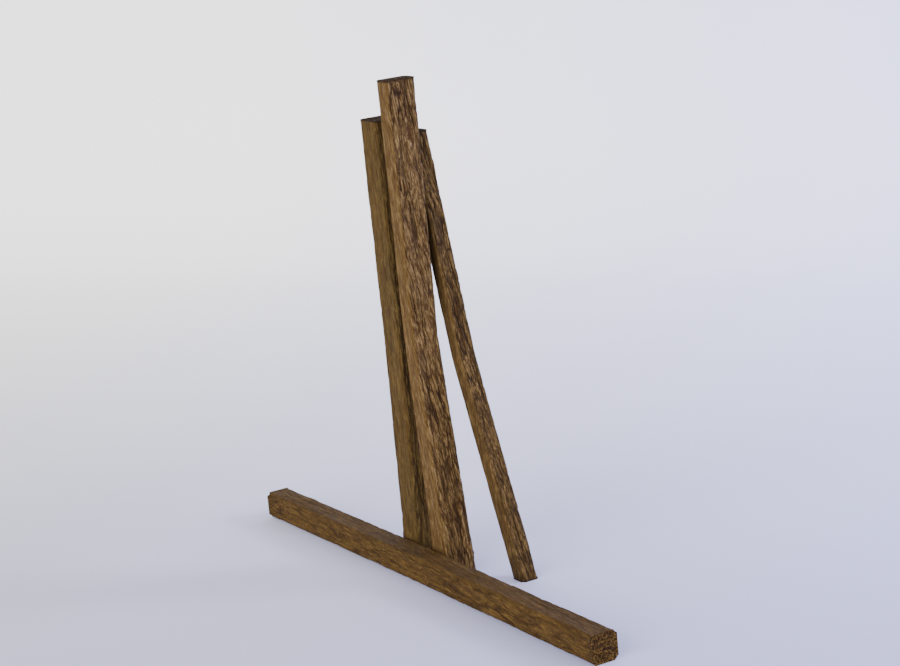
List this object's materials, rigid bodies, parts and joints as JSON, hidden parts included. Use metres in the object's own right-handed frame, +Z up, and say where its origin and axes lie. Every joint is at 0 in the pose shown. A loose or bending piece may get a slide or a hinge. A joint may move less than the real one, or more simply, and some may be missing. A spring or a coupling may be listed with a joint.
{
  "type": "hewn timber tripod stand",
  "caption": "Rustic stand of rough-hewn timbers: a long ground sill, upright posts pegged behind it, and a rear leg that swings on a wooden pin at the head.",
  "frame": {"origin": "middle of the ground sill's underside, on the ground", "axes": "+X along the ground sill towards the centre post's side, +Y from the sill towards the rear leg, +Z up"},
  "size_m": [2, 0.3195, 1.6],
  "materials": {
    "sill_timber": "weathered hewn timber, cracked and bare",
    "left_post_timber": "weathered hewn timber, cracked and bare",
    "centre_post_timber": "weathered hewn timber, cracked and bare",
    "leg_timber": "weathered hewn timber, cracked and bare",
    "block_timber": "sawn timber, bare",
    "peg_wood": "cleft oak, bare",
    "wedge_wood": "cleft oak, bare",
    "pin_wood": "turned oak, rubbed smooth",
    "washer_leather": "thick saddle leather, worn"
  },
  "bodies": {
    "stand": {"sill_beam": "sill_timber", "left_post": "left_post_timber", "centre_post": "centre_post_timber", "head_block": "block_timber", "sill_pegs": "peg_wood", "head_pegs": "peg_wood", "peg_wedges": "wedge_wood", "leg_pivot_pin": "pin_wood", "pivot_washer": "washer_leather", "pin_lock_peg": "peg_wood"},
    "leg": {"rear_leg": "leg_timber"}
  },
  "joints": [
    {"name": "leg_swing", "type": "hinge", "parent": "stand", "child": "leg", "pos_m": [-0.09971, 0.16261, 1.29666], "axis": [0, -1, 0], "range_deg": [-14, 12]}
  ]
}
